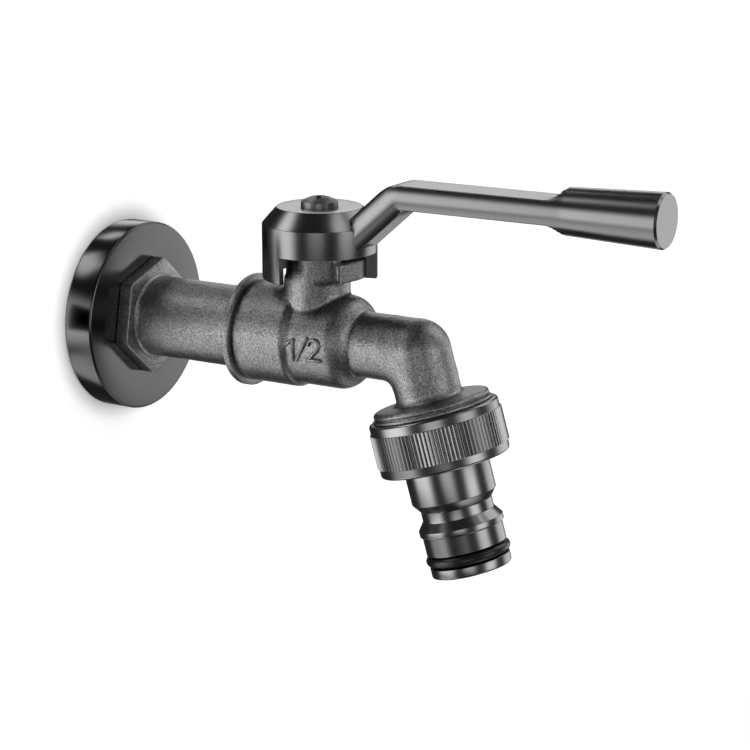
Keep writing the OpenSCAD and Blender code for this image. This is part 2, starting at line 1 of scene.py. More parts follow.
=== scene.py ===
# %% [markdown]
# # A lever bib tap in cast and polished gunmetal
# The tap screws into a wall and carries a push-on hose nipple. Its metal is either cast and matt,
# or turned and polished, and most of its look comes from that contrast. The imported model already
# holds the exact solids, so each step here either gives a solid its finish or replaces it with a
# finer surface: a thread, a ribbed nut, a casting with soft corners.

import bmesh
import bpy
import numpy as np
from mathutils import Matrix


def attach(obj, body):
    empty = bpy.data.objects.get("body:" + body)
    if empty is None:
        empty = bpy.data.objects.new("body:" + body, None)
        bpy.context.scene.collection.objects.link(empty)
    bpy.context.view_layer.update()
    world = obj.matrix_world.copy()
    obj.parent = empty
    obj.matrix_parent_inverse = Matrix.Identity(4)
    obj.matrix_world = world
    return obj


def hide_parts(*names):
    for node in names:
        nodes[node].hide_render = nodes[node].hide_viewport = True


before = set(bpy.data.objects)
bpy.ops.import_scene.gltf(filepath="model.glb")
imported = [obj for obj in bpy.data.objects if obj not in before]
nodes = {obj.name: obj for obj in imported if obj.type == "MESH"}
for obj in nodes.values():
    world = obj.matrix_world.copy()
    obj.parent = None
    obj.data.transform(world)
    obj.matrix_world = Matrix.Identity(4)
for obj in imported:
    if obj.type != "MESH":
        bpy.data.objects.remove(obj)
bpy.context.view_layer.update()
print("CAD nodes:", ", ".join(sorted(nodes)))

# %% [markdown]
# ## The camera
# The photograph looks at the tap from its near side, 30 degrees in front of square and 15 degrees
# from above, with a long lens. The place, the direction and the lens were fitted together to the
# outlines of the turned parts, so the shapes land on the photograph without any shift.

# %% Camera
camera_data = bpy.data.cameras.new("camera")
camera_data.sensor_width = 36.0
camera_data.lens = 103.759
camera_data.clip_start = 0.01
camera_data.clip_end = 20.0
camera = bpy.data.objects.new("camera", camera_data)
bpy.context.scene.collection.objects.link(camera)
right = (0.86277, 0.50561, 0.0)
up = (-0.12933, 0.22068, 0.96674)
back = (0.48879, -0.83407, 0.25578)
camera.matrix_world = Matrix(
    [
        [right[0], up[0], back[0], 0.34413],
        [right[1], up[1], back[1], -0.45380],
        [right[2], up[2], back[2], 0.13156],
        [0.0, 0.0, 0.0, 1.0],
    ]
)
bpy.context.scene.camera = camera
bpy.context.scene.view_settings.view_transform = "Standard"
print("camera lens:", round(camera_data.lens, 1), "mm")

# %% [markdown]
# ## Small helpers for shader nodes
# Every finish is a node tree. Writing `node(tree, kind, input=value)` keeps a finish short enough
# to read as a recipe: the values that are set are the ones that matter.

# %% Node helpers
def node(tree, kind, **inputs):
    """Adds a shader node; an input may be a value or an output socket of another node.

    Inputs are named, or in0, in1 and so on where several of a node's sockets share a name."""
    made = tree.nodes.new(kind)
    for key, value in inputs.items():
        if hasattr(made, key):
            setattr(made, key, value)
            continue
        by_number = key.startswith("in") and key[2:].isdigit()
        socket = made.inputs[int(key[2:]) if by_number else key.replace("_", " ")]
        if isinstance(value, bpy.types.NodeSocket):
            tree.links.new(value, socket)
        else:
            socket.default_value = value
    return made


def math(tree, operation, *values):
    """Adds a Math node and returns its output."""
    inputs = {f"in{i}": value for i, value in enumerate(values)}
    return node(tree, "ShaderNodeMath", operation=operation, **inputs).outputs[0]


def group(name, inputs, outputs):
    """Starts a node group and returns it with its input and output nodes."""
    tree = bpy.data.node_groups.new(name, "ShaderNodeTree")
    for label, kind, value in inputs:
        socket = tree.interface.new_socket(label, in_out="INPUT", socket_type=kind)
        if value is not None:
            socket.default_value = value
    for label, kind in outputs:
        tree.interface.new_socket(label, in_out="OUTPUT", socket_type=kind)
    return tree, tree.nodes.new("NodeGroupInput"), tree.nodes.new("NodeGroupOutput")


def use(tree, made, **inputs):
    """Places a node group in a material and sets its inputs."""
    placed = tree.nodes.new("ShaderNodeGroup")
    placed.node_tree = made
    for key, value in inputs.items():
        socket = placed.inputs[key.replace("_", " ")]
        if isinstance(value, bpy.types.NodeSocket):
            tree.links.new(value, socket)
        else:
            socket.default_value = value
    return placed


def material(name):
    """Starts a material and returns it with its tree, its shader and its Object coordinates."""
    made = bpy.data.materials.new(name)
    made.use_nodes = True
    tree = made.node_tree
    shader = tree.nodes["Principled BSDF"]
    place = tree.nodes.new("ShaderNodeTexCoord").outputs["Object"]
    return made, tree, shader, place


print("node helpers ready")

# %% [markdown]
# ## The cast grain
# A sand casting keeps the print of its mould: rounded grains about half a millimetre wide, and
# broader lighter and darker patches where the plating took differently. Two layers of noise give
# both. The fine one is the height for a Bump node, and the broad one mottles colour and roughness.

# %% Group: cast grain
FLOAT, VECTOR = "NodeSocketFloat", "NodeSocketVector"
cast_grain, gin, gout = group(
    "cast_grain",
    [("Place", VECTOR, None), ("Grain per metre", FLOAT, 1700.0), ("Patch per metre", FLOAT, 260.0)],
    [("Height", FLOAT), ("Mottle", FLOAT), ("Speck", FLOAT)],
)
at, fine_scale, broad_scale = gin.outputs[:3]
fine = node(cast_grain, "ShaderNodeTexNoise", Vector=at, Scale=fine_scale, Detail=3.0, Roughness=0.5)
broad = node(cast_grain, "ShaderNodeTexNoise", Vector=at, Scale=broad_scale, Detail=4.0, Roughness=0.6)
speck = node(cast_grain, "ShaderNodeMapRange", Value=fine.outputs[0], From_Min=0.4, From_Max=0.66)
cast_grain.links.new(fine.outputs[0], gout.inputs["Height"])
cast_grain.links.new(broad.outputs[0], gout.inputs["Mottle"])
cast_grain.links.new(speck.outputs[0], gout.inputs["Speck"])
print("group", cast_grain.name, "puts out", [socket.name for socket in gout.inputs if socket.name])

# %% [markdown]
# ## The polished grain
# A turned and buffed part is not a perfect mirror. A faint haze of uneven roughness breaks up the
# edges of the reflections, and a very fine bump keeps large faces from looking like glass.

# %% Group: polish haze
polish_haze, gin, gout = group(
    "polish_haze",
    [("Place", VECTOR, None), ("Roughness", FLOAT, 0.15), ("Spread", FLOAT, 0.05)],
    [("Roughness", FLOAT), ("Height", FLOAT)],
)
haze = node(polish_haze, "ShaderNodeTexNoise", Vector=gin.outputs[0], Scale=140.0, Detail=3.0)
scratch = node(polish_haze, "ShaderNodeTexNoise", Vector=gin.outputs[0], Scale=2600.0, Detail=1.0)
centred = math(polish_haze, "SUBTRACT", haze.outputs[0], 0.5)
rough = math(polish_haze, "MULTIPLY_ADD", centred, gin.outputs[2], gin.outputs[1])
polish_haze.links.new(rough, gout.inputs["Roughness"])
polish_haze.links.new(scratch.outputs[0], gout.inputs["Height"])
print("group", polish_haze.name, "made")

# %% [markdown]
# ## Finishes
# Gunmetal plating is black nickel over brass: a dark neutral metal. The cast parts carry it over
# their grain, so it looks matt and mottled. The turned parts carry the same plating over a polish.

# %% Finish: cast gunmetal
cast, tree, shader, place = material("cast_gunmetal")
grain = use(tree, cast_grain, Place=place, Grain_per_metre=2400.0, Patch_per_metre=300.0)
shade = node(tree, "ShaderNodeMapRange", Value=grain.outputs["Mottle"], From_Min=0.3, From_Max=0.7)
patches = math(tree, "MULTIPLY", shade.outputs[0], 0.25)
tone = math(tree, "MULTIPLY_ADD", grain.outputs["Speck"], 1.0, patches)
ramp = node(tree, "ShaderNodeMix", data_type="RGBA")
ramp.inputs[6].default_value = (0.17, 0.171, 0.174, 1.0)
ramp.inputs[7].default_value = (0.42, 0.421, 0.425, 1.0)
tree.links.new(tone, ramp.inputs[0])
bump = node(tree, "ShaderNodeBump", Strength=1.0, Distance=0.00015, Height=grain.outputs["Height"])
rough = node(tree, "ShaderNodeMapRange", Value=grain.outputs["Mottle"], To_Min=0.32, To_Max=0.4)
shader.inputs["Metallic"].default_value = 1.0
tree.links.new(ramp.outputs[2], shader.inputs["Base Color"])
tree.links.new(rough.outputs[0], shader.inputs["Roughness"])
tree.links.new(bump.outputs[0], shader.inputs["Normal"])
print("finish", cast.name)

# %% Finish: polished gunmetal
def polished(name, colour, roughness, spread=0.05):
    """A plated metal with a light haze in its polish."""
    made, tree, shader, place = material(name)
    haze = use(tree, polish_haze, Place=place, Roughness=roughness, Spread=spread)
    bump = node(tree, "ShaderNodeBump", Strength=0.04, Distance=0.00003, Height=haze.outputs["Height"])
    shader.inputs["Base Color"].default_value = (*colour, 1.0)
    shader.inputs["Metallic"].default_value = 1.0
    tree.links.new(haze.outputs["Roughness"], shader.inputs["Roughness"])
    tree.links.new(bump.outputs[0], shader.inputs["Normal"])
    return made


lever_finish = polished("polished_gunmetal", (0.205, 0.206, 0.21), 0.25)
flange_finish = polished("flange_gunmetal", (0.1, 0.101, 0.104), 0.18)
nut_finish = polished("nut_gunmetal", (0.27, 0.271, 0.274), 0.25)
nipple_finish = polished("nipple_gunmetal", (0.25, 0.251, 0.254), 0.24)
screw_finish = polished("screw_gunmetal", (0.3, 0.301, 0.305), 0.4)
ball_finish = polished("chromed_ball", (0.62, 0.625, 0.63), 0.08)
brass_finish = polished("stem_brass", (0.72, 0.52, 0.25), 0.26)
print("polished finishes made")

# %% [markdown]
# ## Rubber and plastic
# The O-rings are black rubber with a soft gloss, and the seat rings are white low-friction plastic.

# %% Finish: rubber and seat plastic
GLOSS_SPREAD = 0.06


def moulded(name, colour, roughness, scale):
    """A moulded material whose fine skin is a noise bump and whose gloss varies a little."""
    made, tree, shader, place = material(name)
    skin = use(tree, cast_grain, Place=place, Grain_per_metre=scale, Patch_per_metre=200.0)
    rough = node(
        tree, "ShaderNodeMapRange", Value=skin.outputs["Mottle"],
        To_Min=roughness - GLOSS_SPREAD, To_Max=roughness + GLOSS_SPREAD,
    )
    bump = node(tree, "ShaderNodeBump", Strength=0.12, Distance=0.00003, Height=skin.outputs["Height"])
    shader.inputs["Base Color"].default_value = (*colour, 1.0)
    tree.links.new(rough.outputs[0], shader.inputs["Roughness"])
    tree.links.new(bump.outputs[0], shader.inputs["Normal"])
    return made


rubber = moulded("seal_rubber", (0.01, 0.01, 0.0105), 0.3, 3200.0)
seat_plastic = moulded("seat_plastic", (0.86, 0.85, 0.82), 0.42, 2400.0)
print("moulded finishes made")

# %% [markdown]
# ## Surfaces from a grid
# Nearly every part of a tap is turned, so its surface is a profile carried round an axis. A grid
# of points with rows along the profile and columns round the axis describes it, also where the
# radius changes with the angle, as on a hexagon, a rib or a thread. The profile runs down the
# outside and back through the bore, so rows and columns both close and no pole is needed.

# %% Grid helpers
MM = 0.001
AXIS_X = (np.array([0.0, 0, 0]), np.array([0.0, 1, 0]), np.array([0.0, 0, 1]), np.array([1.0, 0, 0]))
TILT = np.radians(16.4)
SPOUT_START = np.array([90.6, 0, 0])
SPOUT = (
    SPOUT_START,
    np.array([-np.cos(TILT), 0, -np.sin(TILT)]),
    np.array([0.0, 1, 0]),
    np.array([np.sin(TILT), 0, -np.cos(TILT)]),
)


def rounded(corners, steps=5):
    """Closed profile through corners (along, radius, rounding), with an arc at each corner.

    The arc touches both sides at rounding / tan(half the corner's angle) from the corner."""
    points = []
    count = len(corners)
    for i, (along, radius, r) in enumerate(corners):
        here = np.array([along, radius])
        if r == 0:
            points.append(here)
            continue
        before = np.array(corners[i - 1][:2]) - here
        after = np.array(corners[(i + 1) % count][:2]) - here
        u = before / np.linalg.norm(before)
        v = after / np.linalg.norm(after)
        half = np.arccos(np.clip(u @ v, -1, 1)) / 2
        centre = here + (u + v) / np.linalg.norm(u + v) * r / np.sin(half)
        start = here + u * r / np.tan(half) - centre
        end = here + v * r / np.tan(half) - centre
        t = np.linspace(0, 1, steps)[:, None]
        arc = start * (1 - t) + end * t
        arc *= r / np.linalg.norm(arc, axis=1, keepdims=True)
        points.extend(centre + arc)
    return np.array(points)


def spin(axis, along, radius, a=None):
    """Points along * axis + radius * (cos a, sin a) for a grid of along and radius values.

    The angles a are one for each column, in radians, and even all round when left out."""
    origin, across, third, direction = axis
    if a is None:
        a = np.linspace(0, 2 * np.pi, radius.shape[1], endpoint=False)
    return (
        origin
        + along[..., None] * direction
        + (radius * np.cos(a))[..., None] * across
        + (radius * np.sin(a))[..., None] * third
    )


def surface(name, points, finish, body, replaced=(), sharp=32.0, poles=False):
    """Mesh of a grid of points in millimetres, with its faces turned outwards.

    Face (i, j) joins rows i, i + 1 and columns j, j + 1. The columns close into rings. The rows
    close too, or with poles each end is closed by a fan from its middle. The sign of the volume,
    the sum of p0 . (p1 x p2) over the triangles, tells whether the faces have to be flipped."""
    rows, cols = points.shape[:2]
    i, j = np.meshgrid(np.arange(rows - poles), np.arange(cols), indexing="ij")
    i2, j2 = (i + 1) % rows, (j + 1) % cols
    quads = np.stack([i * cols + j, i * cols + j2, i2 * cols + j2, i2 * cols + j], -1).reshape(-1, 4)
    flat = points.reshape(-1, 3) * MM
    faces = [quads]
    if poles:
        k = np.arange(cols)
        last = (rows - 1) * cols
        flat = np.concatenate([flat, flat[:cols].mean(0)[None], flat[last:].mean(0)[None]])
        faces.append(np.stack([np.full(cols, rows * cols), (k + 1) % cols, k], 1))
        faces.append(np.stack([np.full(cols, rows * cols + 1), last + k, last + (k + 1) % cols], 1))
    p = flat[quads]
    volume = np.einsum("ij,ij", p[:, 0], np.cross(p[:, 1], p[:, 2]) + np.cross(p[:, 2], p[:, 3]))
    if volume < 0:
        faces = [part[:, ::-1] for part in faces]
    return mesh_piece(name, flat, faces, finish, body, replaced, sharp)


def mesh_piece(name, flat, faces, finish, body, replaced=(), sharp=32.0):
    """Mesh piece from points in metres and lists of faces, riding on a body of the model."""
    mesh = bpy.data.meshes.new(name)
    corners = np.concatenate([part.ravel() for part in faces])
    sizes = np.concatenate([np.full(len(part), part.shape[1]) for part in faces])
    mesh.vertices.add(len(flat))
    mesh.vertices.foreach_set("co", flat.ravel())
    mesh.loops.add(len(corners))
    mesh.loops.foreach_set("vertex_index", corners)
    mesh.polygons.add(len(sizes))
    mesh.polygons.foreach_set("loop_start", np.concatenate([[0], np.cumsum(sizes)[:-1]]))
    mesh.update(calc_edges=True)
    mesh.validate()
    mesh.polygons.foreach_set("use_smooth", np.ones(len(mesh.polygons), bool))
    mesh.set_sharp_from_angle(angle=np.radians(sharp))
    mesh.materials.append(finish)
    piece = bpy.data.objects.new(name, mesh)
    bpy.context.scene.collection.objects.link(piece)
    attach(piece, body)
    for target in replaced:
        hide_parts(target)
    print(name, "has", len(mesh.polygons), "faces")
    return piece


def lathe(profile, cols):
    """Grid of along and radius values for a profile that is round all the way."""
    along = np.repeat(profile[:, :1], cols, axis=1)
    radius = np.repeat(profile[:, 1:], cols, axis=1)
    return along, radius


print("grid helpers ready")

# %% [markdown]
# ## Wall flange
# The flange is a turned cup that slides up to the wall and hides the hole. It is loose on the
# thread, so it hangs half a millimetre low. Its rounded front edge catches a thin line of light.

# %% Wall flange
DROP = 0.5
flange_axis = (np.array([0.0, 0, -DROP]), *AXIS_X[1:])
flange_profile = rounded(
    [
        (0.0, 21.0, 0.2), (0.0, 25.0, 0.3), (8.0, 25.0, 0.55), (8.0, 11.03, 0.25),
        (3.5, 11.03, 0.2), (3.5, 21.0, 0.6),
    ]
)
surface("wall_flange_turned", spin(flange_axis, *lathe(flange_profile, 192)), flange_finish, "tap",
        ["wall_flange"])

# %% [markdown]
# ## Inlet tube
# One casting carries the pipe thread, the hexagon for the spanner, the plain tube, the collar and
# the spigot that screws into the body. Every section is a closed outline round the same axis, so
# the whole piece is one grid whose radius depends on the place along it and on the angle. The
# thread's radius falls and rises once in each pitch, and one turn round the axis shifts that
# wave by one pitch, which makes it a helix.

# %% Inlet tube
PITCH = 1.814
THREAD_DEPTH = 1.162
THREAD_R = 10.4775
HEX_FLATS = 27.0
HEX_TURN = np.radians(48.5)
HEX_CORNER_R = 15.32


def thread_wave(along, angle, pitch=PITCH):
    """Rounded thread, 0 on a crest and 1 in a root: half of one minus the cosine of the phase."""
    return 0.5 - 0.5 * np.cos(2 * np.pi * along / pitch - angle)


def hexagon_radius(angle, across_flats, turn, corner):
    """Distance to a hexagon's side, half the flats over the cosine from the nearest flat."""
    off = np.mod(angle - turn + np.pi / 6, np.pi / 3) - np.pi / 6
    return np.minimum(across_flats / 2 / np.cos(off), corner)


COLS = 192
angle = np.linspace(0, 2 * np.pi, COLS, endpoint=False)
x_thread = np.linspace(-14.0, 0.5, 130)
thread_r = THREAD_R - THREAD_DEPTH * thread_wave(x_thread[:, None], angle[None, :])
thread_r = np.minimum(thread_r, 9.2 + 1.1 * (x_thread[:, None] + 14.0))
thread_r = np.minimum(thread_r, 9.7 + 1.4 * (0.5 - x_thread[:, None]))
hex_r = hexagon_radius(angle, HEX_FLATS, HEX_TURN, HEX_CORNER_R)
hex_edges = [
    [8.0, 0.45], [8.06, 0.22], [8.2, 0.06], [8.45, 0.0],
    [11.35, 0.0], [11.6, 0.06], [11.74, 0.22], [11.8, 0.45],
]
rows_along = [x_thread]
rows_radius = [thread_r]


def add_rows(profile, shape=None):
    """Adds rows of the inlet tube; shape is an outline that the profile's second value insets."""
    profile = np.array(profile, float)
    rows_along.append(profile[:, 0])
    if shape is None:
        rows_radius.append(profile[:, 1:] + np.zeros(COLS))
    else:
        rows_radius.append(shape[None, :] - profile[:, 1:])


add_rows([[0.5, 9.68], [3.0, 9.68], [3.3, THREAD_R], [8.0, THREAD_R]])
add_rows(hex_edges, hex_r)
fillet = np.radians(np.linspace(0, 90, 6))
add_rows(np.stack([11.8 + 1.1 * (1 - np.cos(fillet)), 11.65 - 1.1 * np.sin(fillet)], 1))
add_rows(np.stack([40.4 + np.sin(fillet), 11.55 - np.cos(fillet)], 1))
collar = rounded([(41.4, 11.55, 0), (41.4, 14.55, 0.35), (43.38, 14.55, 0.35), (43.38, 10.9, 0)])
add_rows(collar)
add_rows([[44.5, 10.9], [44.5, 9.35], [46.3, 9.35], [46.3, 10.9], [55.6, 10.9], [55.9, 10.6]])
add_rows([[55.9, 8.95], [52.5, 8.95], [52.5, 7.0], [-13.6, 7.0], [-14.0, 7.4]])
along = np.repeat(np.concatenate(rows_along)[:, None], COLS, axis=1)
radius = np.concatenate(rows_radius)
surface("inlet_tube_cast", spin(AXIS_X, along, radius), cast, "tap", ["inlet_tube"])

# %% [markdown]
# ## Cast body
# The barrel, the neck, the lug and the elbow are one sand casting, and a casting has no sharp
# inner corner: metal shrinks away from it. The solid's corners are sharp, so a copy of it is cut
# off above the machined spout end, turned into an even skin of small squares by a voxel remesh,
# and relaxed. Each round of relaxing moves every point halfway to the mean of its neighbours,
# which leaves broad forms alone and rounds the corners by about half a millimetre.

# %% Cast body
SPOUT_CUT = 13.9
VOXEL = 0.0004
BODY_START_X = 43.9
NECK_TOP_Z = 23.6


def merged_copy(name):
    """A bmesh of a CAD node with its loose triangles joined into one skin."""
    skin = bmesh.new()
    skin.from_mesh(nodes[name].data)
    bmesh.ops.remove_doubles(skin, verts=skin.verts, dist=2e-6)
    return skin


def remeshed(skin, name, voxel):
    """Evaluated voxel remesh of a bmesh, as arrays of points and of quads."""
    mesh = bpy.data.meshes.new(name)
    skin.to_mesh(mesh)
    skin.free()
    holder = bpy.data.objects.new(name, mesh)
    bpy.context.scene.collection.objects.link(holder)
    remesh = holder.modifiers.new("remesh", "REMESH")
    remesh.mode = "VOXEL"
    remesh.voxel_size = voxel
    graph = bpy.context.evaluated_depsgraph_get()
    made = bpy.data.meshes.new_from_object(holder.evaluated_get(graph))
    points = np.empty(len(made.vertices) * 3)
    made.vertices.foreach_get("co", points)
    quads = np.empty(len(made.loops), int)
    made.loops.foreach_get("vertex_index", quads)
    bpy.data.objects.remove(holder)
    bpy.data.meshes.remove(made)
    return points.reshape(-1, 3), quads.reshape(-1, 4)


def relax(points, quads, weight, rounds):
    """Moves each point by weight / 2 towards the mean of its neighbours, over and over."""
    a = quads.ravel()
    b = np.roll(quads, -1, axis=1).ravel()
    count = np.bincount(a, minlength=len(points)) + np.bincount(b, minlength=len(points))
    for _ in range(rounds):
        total = np.stack(
            [
                np.bincount(a, points[b, k], len(points)) + np.bincount(b, points[a, k], len(points))
                for k in range(3)
            ],
            1,
        )
        points = points + 0.5 * weight[:, None] * (total / count[:, None] - points)
    return points


skin = merged_copy("body")
cut_at = (SPOUT[0] + SPOUT_CUT * SPOUT[3]) * MM
cut = bmesh.ops.bisect_plane(
    skin, geom=skin.verts[:] + skin.edges[:] + skin.faces[:], dist=1e-7, plane_co=cut_at,
    plane_no=SPOUT[3], clear_outer=True,
)
rim = [item for item in cut["geom_cut"] if isinstance(item, bmesh.types.BMEdge)]
bmesh.ops.triangle_fill(skin, use_beauty=True, edges=rim)
points, quads = remeshed(skin, "body_skin", VOXEL)
down_spout = (points / MM - SPOUT[0]) @ SPOUT[3]
# the three turned faces, at the spout, the tube and the top of the neck, keep their edges
weight = np.clip((SPOUT_CUT - 0.5 - down_spout) / 0.8, 0.05, 1.0)
weight *= np.clip((points[:, 0] / MM - BODY_START_X) / 0.6, 0.1, 1.0)
weight *= np.clip((NECK_TOP_Z - points[:, 2] / MM) / 0.6, 0.1, 1.0)
points = relax(points, quads, weight, 4)
mesh_piece("body_cast", points, [quads], cast, "tap", ["body"], sharp=60.0)

# %% [markdown]
# ## Spout end
# Below its flange the casting was turned: a thin ring for the nut to stop at, and a pipe thread
# down to the face where the gasket seals. It is one grid again, with the helix in its radius.

# %% Spout end
SPOUT_THREAD_R = 13.22
THREAD_TOP = 15.0
SPOUT_END = 22.7
ring = rounded(
    [
        (SPOUT_CUT, 5.55, 0), (SPOUT_CUT, 14.1, 0), (14.2, 14.1, 0), (14.2, 15.15, 0.15),
        (14.9, 15.15, 0.15), (14.9, 12.3, 0),
    ]
)
s_thread = np.linspace(THREAD_TOP, SPOUT_END, 90)
spout_r = SPOUT_THREAD_R - THREAD_DEPTH * thread_wave(s_thread[:, None], angle[None, :])
spout_r = np.minimum(spout_r, 11.95 + 1.0 * (SPOUT_END - s_thread[:, None]))
spout_r = np.minimum(spout_r, 12.06 + 1.3 * (s_thread[:, None] - THREAD_TOP))
mouth = np.array([[SPOUT_END, 7.7], [22.6, 7.5], [17.7, 7.5], [17.7, 5.55]])
along = np.concatenate([ring[:, 0], s_thread, mouth[:, 0]])
radius = np.concatenate([ring[:, 1:] + np.zeros(COLS), spout_r, mouth[:, 1:] + np.zeros(COLS)])
along = np.repeat(along[:, None], COLS, axis=1)
surface("spout_thread", spin(SPOUT, along, radius), cast, "tap", ["body"])

# %% [markdown]
# ## Coupling nut
# The nut is gripped by hand, so its middle is knurled: 104 straight ribs with rounded crests
# between two plain bands. A radius that dips between the ribs gives them, and the bore carries
# the thread that runs up the spout.

# %% Coupling nut
NUT_START = 15.0
NUT_BORE_R = 13.52
LEAD_IN = 1.2
RIBS = 104
RIB_HEIGHT = 0.42
PER_RIB = 6
cols = RIBS * PER_RIB
angle = np.linspace(0, 2 * np.pi, cols, endpoint=False)
dip = np.abs(np.sin(angle * RIBS / 2)) ** 1.6
outer = rounded(
    [(0.0, 13.0, 0), (0.0, 16.5, 0.7), (2.6, 16.5, 0.12), (2.62, 16.9, 0.0), (11.1, 16.9, 0.0),
     (11.12, 16.5, 0.12), (13.6, 16.5, 0.7), (13.6, 10.95, 0.2), (11.91, 10.9, 0.0)]
)
along = np.repeat(outer[:, :1], cols, axis=1)
on_ribs = (outer[:, 0] > 2.61) & (outer[:, 0] < 11.11) & (outer[:, 1] > 16.6)
radius = outer[:, 1:] - RIB_HEIGHT * on_ribs[:, None] * dip[None, :]
bore_along = np.concatenate([[11.9], np.linspace(11.8, 0.0, 76)])
bore = NUT_BORE_R + 0.55 - 1.1 * (1 - thread_wave(bore_along[:, None] + NUT_START, angle[None, :]))
bore = np.clip(bore, NUT_BORE_R - 0.9, NUT_BORE_R)
bore[0] = NUT_BORE_R
lead = 13.0 + 0.9 * np.clip(LEAD_IN - bore_along, 0, LEAD_IN)
bore = np.where(bore_along[:, None] < LEAD_IN, np.maximum(bore, lead[:, None]), bore)
along = np.concatenate([along, np.repeat(bore_along[:, None], cols, axis=1)])
radius = np.concatenate([radius, bore])
surface("coupling_nut_ribbed", spin(SPOUT, along + NUT_START, radius), nut_finish, "nut",
        ["coupling_nut"])

# %% [markdown]
# ## Hose nipple
# The push-on connector slides over this nipple, and its claws grip the waist. Everything on it is
# turned in one setting, so one rounded profile round the spout's axis describes it.

# %% Hose nipple
nipple_profile = rounded(
    [
        (22.7, 5.5, 0.2), (22.7, 13.1, 0.2), (24.9, 13.1, 0.2), (24.9, 10.5, 0.2), (29.0, 10.5, 0.1),
        (29.0, 10.8, 0.12), (37.05, 10.8, 0.3), (39.25, 9.15, 0.4), (41.75, 9.15, 0.4),
        (43.95, 10.8, 0.3), (45.55, 10.8, 0.35), (45.55, 10.25, 0.15), (50.35, 10.25, 0.15),
        (50.35, 8.1, 0.2), (53.65, 8.1, 0.2), (53.65, 10.25, 0.15), (56.23, 10.25, 0.5),
        (56.23, 5.5, 0.4),
    ]
)
surface("hose_nipple_turned", spin(SPOUT, *lathe(nipple_profile, 192)), nipple_finish, "nipple",
        ["hose_nipple"])

# %% [markdown]
# ## Lever hub
# The hub is a turned cap with a skirt. A window in the skirt lets the stop lug through, and two
# ribs inside the skirt meet it at the ends of the turn. It is a grid round the stem again: the
# skirt's lower rim jumps up over the window's angles, and the bore of the cap is square where it
# sits on the stem's square, which is a radius divided by the larger of |cos a| and |sin a|.

# %% Lever hub
STEM_X = 62.1
STEM = (np.array([STEM_X, 0, 0]), np.array([1.0, 0, 0]), np.array([0.0, 1, 0]), np.array([0.0, 0, 1]))
SQUARE = 3.2
SKIRT_Z = 16.0
WINDOW_Z = 22.9
WINDOW = (-102.0, 20.0)
LUG_TURN = -10.7
STOPS = ((LUG_TURN + 24.2, LUG_TURN + 58), (LUG_TURN - 148, LUG_TURN - 114.2))


def hub_angles(count):
    """Even angles with close pairs on both edges of the window and of the ribs, in degrees."""
    even = np.linspace(-180, 180, count, endpoint=False)
    edges = np.array([*WINDOW, *STOPS[0], *STOPS[1][::-1]])
    away = np.abs(even[:, None] - edges[None, :]).min(1) > 0.9
    pairs = np.concatenate([edges - 0.03, edges + 0.03])
    return np.sort(np.concatenate([even[away], pairs]))


degrees = hub_angles(240)
hub_profile = rounded(
    [
        (34.1, 2.55, 0.15), (34.1, 10.85, 0.3), (29.9, 14.55, 0.35), (SKIRT_Z, 14.55, 0.3),
        (SKIRT_Z, 13.05, 0.3), (24.6, 13.05, 0.0),
    ]
)
hub_bore = [[24.6, 4.9], [24.6, SQUARE + 0.01], [30.7, SQUARE], [30.7, 2.55]]
hub_profile = np.concatenate([hub_profile, hub_bore])
along = np.repeat(hub_profile[:, :1], len(degrees), axis=1)
radius = np.repeat(hub_profile[:, 1:], len(degrees), axis=1)
in_window = (degrees > WINDOW[0]) & (degrees < WINDOW[1])
skirt = (hub_profile[:, 0] < WINDOW_Z)[:, None] & in_window[None, :]
along = np.where(skirt, WINDOW_Z + 0.04 * (along - SKIRT_Z), along)
stop = np.any([(degrees > low) & (degrees < high) for low, high in STOPS], axis=0)
inner = (hub_profile[:, 1] < 13.2) & (hub_profile[:, 1] > 12.9)
radius = np.where(inner[:, None] & stop[None, :] & ~in_window[None, :], 10.5, radius)
turned = np.radians(degrees)
radius[-3:-1] = SQUARE / np.maximum(np.abs(np.cos(turned)), np.abs(np.sin(turned)))
surface("lever_hub", spin(STEM, along, radius, turned), lever_finish, "lever",
        ["lever_handle"])

# %% [markdown]
# ## Lever arm
# The arm is a round bar that was pressed flat above and below, bent up from the hub, and left
# round at its end as the grip. Its section is a circle cut by two flats, and the two blend through
# a high power sum, which rounds the long edges a little, as a press leaves them. The section is
# carried along a path of two straight lines and an arc.

# %% Lever arm
SLOPE = np.radians(41.5)
ARM_Z = 39.1
ARM_FOOT = 6.0
ARM_END = 93.6
BEND_U = 22.4 + (7.5 / np.cos(SLOPE) - 6.1) / np.tan(SLOPE) / 2
BEND_R = 3.6
BAR_R = 5.8
GRIP_START = 69.0
GRIP_GROWTH = 0.95
SLOPE_HALF, LEVEL_HALF = 3.75, 3.05
FLAT_END = 64.6
TIP_ROUND = 0.45
SECTION_POWER = 70.0


def arm_path():
    """Places (u, z) and directions along the arm: up the slope, round the bend, then level.

    u is the distance from the stem, and on the arc of radius r the place is the arc's start
    plus r * (sin slope - sin turn, cos turn - cos slope)."""
    tangent = BEND_R * np.tan(SLOPE / 2)
    turn = np.linspace(SLOPE, 0, 24)
    start = np.array([BEND_U - tangent * np.cos(SLOPE), ARM_Z - tangent * np.sin(SLOPE)])
    bend = start + BEND_R * np.stack([np.sin(SLOPE) - np.sin(turn), np.cos(turn) - np.cos(SLOPE)], 1)
    slope_u = np.linspace(ARM_FOOT, start[0], 26)[:-1]
    slope_z = start[1] - (start[0] - slope_u) * np.tan(SLOPE)
    level_u = np.linspace(bend[-1, 0], ARM_END, 110)[1:]
    u = np.concatenate([slope_u, bend[:, 0], level_u])
    z = np.concatenate([slope_z, bend[:, 1], np.full(len(level_u), ARM_Z)])
    way = np.concatenate([np.full(len(slope_u), SLOPE), turn, np.zeros(len(level_u))])
    return u, z, way


